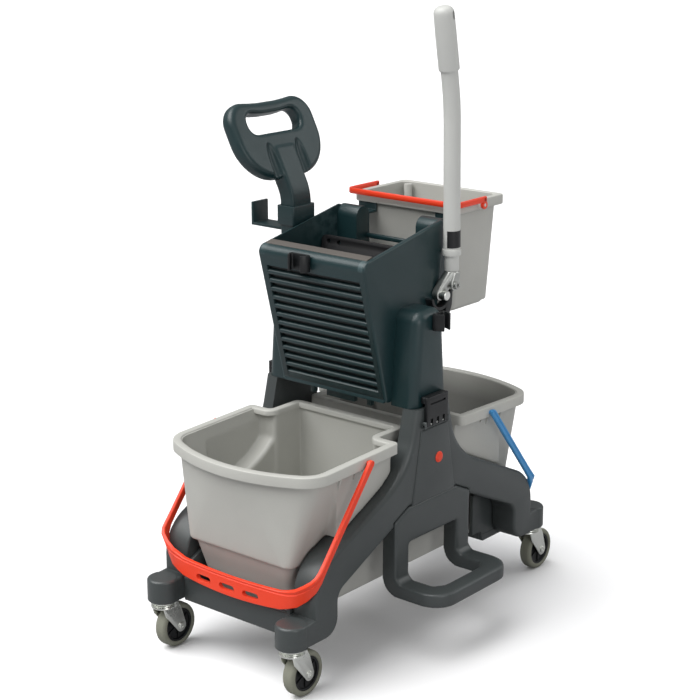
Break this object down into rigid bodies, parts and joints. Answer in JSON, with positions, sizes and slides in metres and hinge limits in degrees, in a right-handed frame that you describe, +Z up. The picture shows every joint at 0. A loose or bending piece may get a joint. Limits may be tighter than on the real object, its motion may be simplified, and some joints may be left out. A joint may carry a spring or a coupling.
{
  "type": "double mop bucket trolley",
  "caption": "Mop trolley on swivel casters: grey buckets with bails either side of a ribbed lever press, hung pail, push handle and foot loop.",
  "frame": {"origin": "on the floor under the middle of the bounding box", "axes": "+Z up, -Y towards the bucket with the red bail, +X towards the lever and the foot loop"},
  "size_m": [0.4802, 0.7424, 1.0385],
  "materials": {
    "chassis_plastic": "lightly grained moulding",
    "press_plastic": "lightly grained moulding",
    "bucket_plastic": "satin moulding",
    "red_plastic": "satin moulding",
    "blue_plastic": "satin moulding",
    "pale_plastic": "satin moulding",
    "lip_plastic": "worn moulding",
    "black_plastic": "satin moulding",
    "zinc": "zinc plated",
    "lever_grey": "satin powder coat",
    "tyre_rubber": "matt"
  },
  "bodies": {
    "chassis": {"side_frame_left": "chassis_plastic", "side_frame_right": "chassis_plastic", "front_cross_member": "chassis_plastic", "rear_cross_member": "chassis_plastic", "side_caps": "red_plastic", "foot_loop": "chassis_plastic", "race_front_left": "zinc", "race_front_right": "zinc", "race_rear_left": "zinc", "race_rear_right": "zinc", "press_front": "press_plastic", "press_lip": "lip_plastic", "press_side_left": "press_plastic", "press_side_right": "press_plastic", "press_back": "press_plastic", "press_base": "press_plastic", "press_bar": "press_plastic", "shoulder_left": "press_plastic", "shoulder_right": "press_plastic", "latch_pins": "zinc", "front_tool_clip": "black_plastic", "side_tool_clip": "black_plastic", "pail_hanger": "press_plastic", "push_handle": "press_plastic", "hook_collar": "press_plastic"},
    "front_bucket": {"front_bucket": "bucket_plastic"},
    "rear_bucket": {"rear_bucket": "bucket_plastic"},
    "front_bail": {"front_bail": "red_plastic"},
    "rear_bail": {"rear_bail": "blue_plastic"},
    "ram": {"press_ram": "black_plastic"},
    "lever": {"lever_shaft": "zinc", "lever_clevis": "zinc", "lever_bolt": "zinc", "lever_ferrule": "lever_grey", "lever_collar": "lever_grey", "lever_tube": "lever_grey", "lever_label": "black_plastic", "lever_grip": "lever_grey"},
    "latch_left": {"latch_left": "black_plastic"},
    "latch_right": {"latch_right": "black_plastic"},
    "pail": {"pail": "bucket_plastic", "pail_eyelets": "pale_plastic"},
    "pail_bail": {"pail_bail": "red_plastic"},
    "fork_front_left": {"fork_front_left": "zinc", "axle_front_left": "zinc"},
    "wheel_front_left": {"hub_front_left": "black_plastic", "tyre_front_left": "tyre_rubber"},
    "fork_front_right": {"fork_front_right": "zinc", "axle_front_right": "zinc"},
    "wheel_front_right": {"hub_front_right": "black_plastic", "tyre_front_right": "tyre_rubber"},
    "fork_rear_left": {"fork_rear_left": "zinc", "axle_rear_left": "zinc"},
    "wheel_rear_left": {"hub_rear_left": "black_plastic", "tyre_rear_left": "tyre_rubber"},
    "fork_rear_right": {"fork_rear_right": "zinc", "axle_rear_right": "zinc"},
    "wheel_rear_right": {"hub_rear_right": "black_plastic", "tyre_rear_right": "tyre_rubber"}
  },
  "joints": [
    {"name": "swivel_front_left", "type": "hinge", "parent": "chassis", "child": "fork_front_left", "pos_m": [-0.1597, -0.34525, 0.08], "axis": [0, 0, 1], "continuous": true},
    {"name": "roll_front_left", "type": "hinge", "parent": "fork_front_left", "child": "wheel_front_left", "pos_m": [-0.1597, -0.32025, 0.0375], "axis": [1, 0, 0], "continuous": true},
    {"name": "swivel_front_right", "type": "hinge", "parent": "chassis", "child": "fork_front_right", "pos_m": [0.1203, -0.34525, 0.08], "axis": [0, 0, 1], "continuous": true},
    {"name": "roll_front_right", "type": "hinge", "parent": "fork_front_right", "child": "wheel_front_right", "pos_m": [0.1203, -0.32025, 0.0375], "axis": [1, 0, 0], "continuous": true},
    {"name": "swivel_rear_left", "type": "hinge", "parent": "chassis", "child": "fork_rear_left", "pos_m": [-0.1597, 0.30875, 0.08], "axis": [0, 0, 1], "continuous": true},
    {"name": "roll_rear_left", "type": "hinge", "parent": "fork_rear_left", "child": "wheel_rear_left", "pos_m": [-0.1597, 0.33375, 0.0375], "axis": [1, 0, 0], "continuous": true},
    {"name": "swivel_rear_right", "type": "hinge", "parent": "chassis", "child": "fork_rear_right", "pos_m": [0.1203, 0.30875, 0.08], "axis": [0, 0, 1], "continuous": true},
    {"name": "roll_rear_right", "type": "hinge", "parent": "fork_rear_right", "child": "wheel_rear_right", "pos_m": [0.1203, 0.33375, 0.0375], "axis": [1, 0, 0], "continuous": true},
    {"name": "front_bucket_lift", "type": "slide", "parent": "chassis", "child": "front_bucket", "axis": [0, -0.7131, 0.7011], "range_m": [0, 0.18]},
    {"name": "rear_bucket_lift", "type": "slide", "parent": "chassis", "child": "rear_bucket", "axis": [0, 0.7131, 0.7011], "range_m": [0, 0.18]},
    {"name": "front_bail_swing", "type": "hinge", "parent": "front_bucket", "child": "front_bail", "pos_m": [-0.0197, -0.18475, 0.35008], "axis": [-1, 0, 0], "range_deg": [0, 140]},
    {"name": "rear_bail_swing", "type": "hinge", "parent": "rear_bucket", "child": "rear_bail", "pos_m": [-0.0197, 0.14825, 0.35008], "axis": [1, 0, 0], "range_deg": [0, 100]},
    {"name": "lever_pull", "type": "hinge", "parent": "chassis", "child": "lever", "pos_m": [0.0893, 0.05011, 0.57], "axis": [1, 0, 0], "range_deg": [0, 55]},
    {"name": "ram_swing", "type": "hinge", "parent": "chassis", "child": "ram", "pos_m": [-0.0197, 0.02242, 0.622], "axis": [1, 0, 0], "range_deg": [-17, 0]},
    {"name": "latch_right_open", "type": "hinge", "parent": "chassis", "child": "latch_right", "pos_m": [0.1491, -0.01825, 0.377], "axis": [0, 1, 0], "range_deg": [0, 80]},
    {"name": "latch_left_open", "type": "hinge", "parent": "chassis", "child": "latch_left", "pos_m": [-0.1885, -0.01825, 0.377], "axis": [0, -1, 0], "range_deg": [0, 80]},
    {"name": "pail_lift", "type": "slide", "parent": "chassis", "child": "pail", "axis": [0, 0, 1], "range_m": [0, 0.25]},
    {"name": "pail_bail_swing", "type": "hinge", "parent": "pail", "child": "pail_bail", "pos_m": [-0.0197, 0.18098, 0.6985], "axis": [-1, 0, 0], "range_deg": [0, 170]}
  ],
  "couplings": [
    {"joint": "ram_swing", "follows": "lever_pull", "ratio": -0.30909}
  ]
}
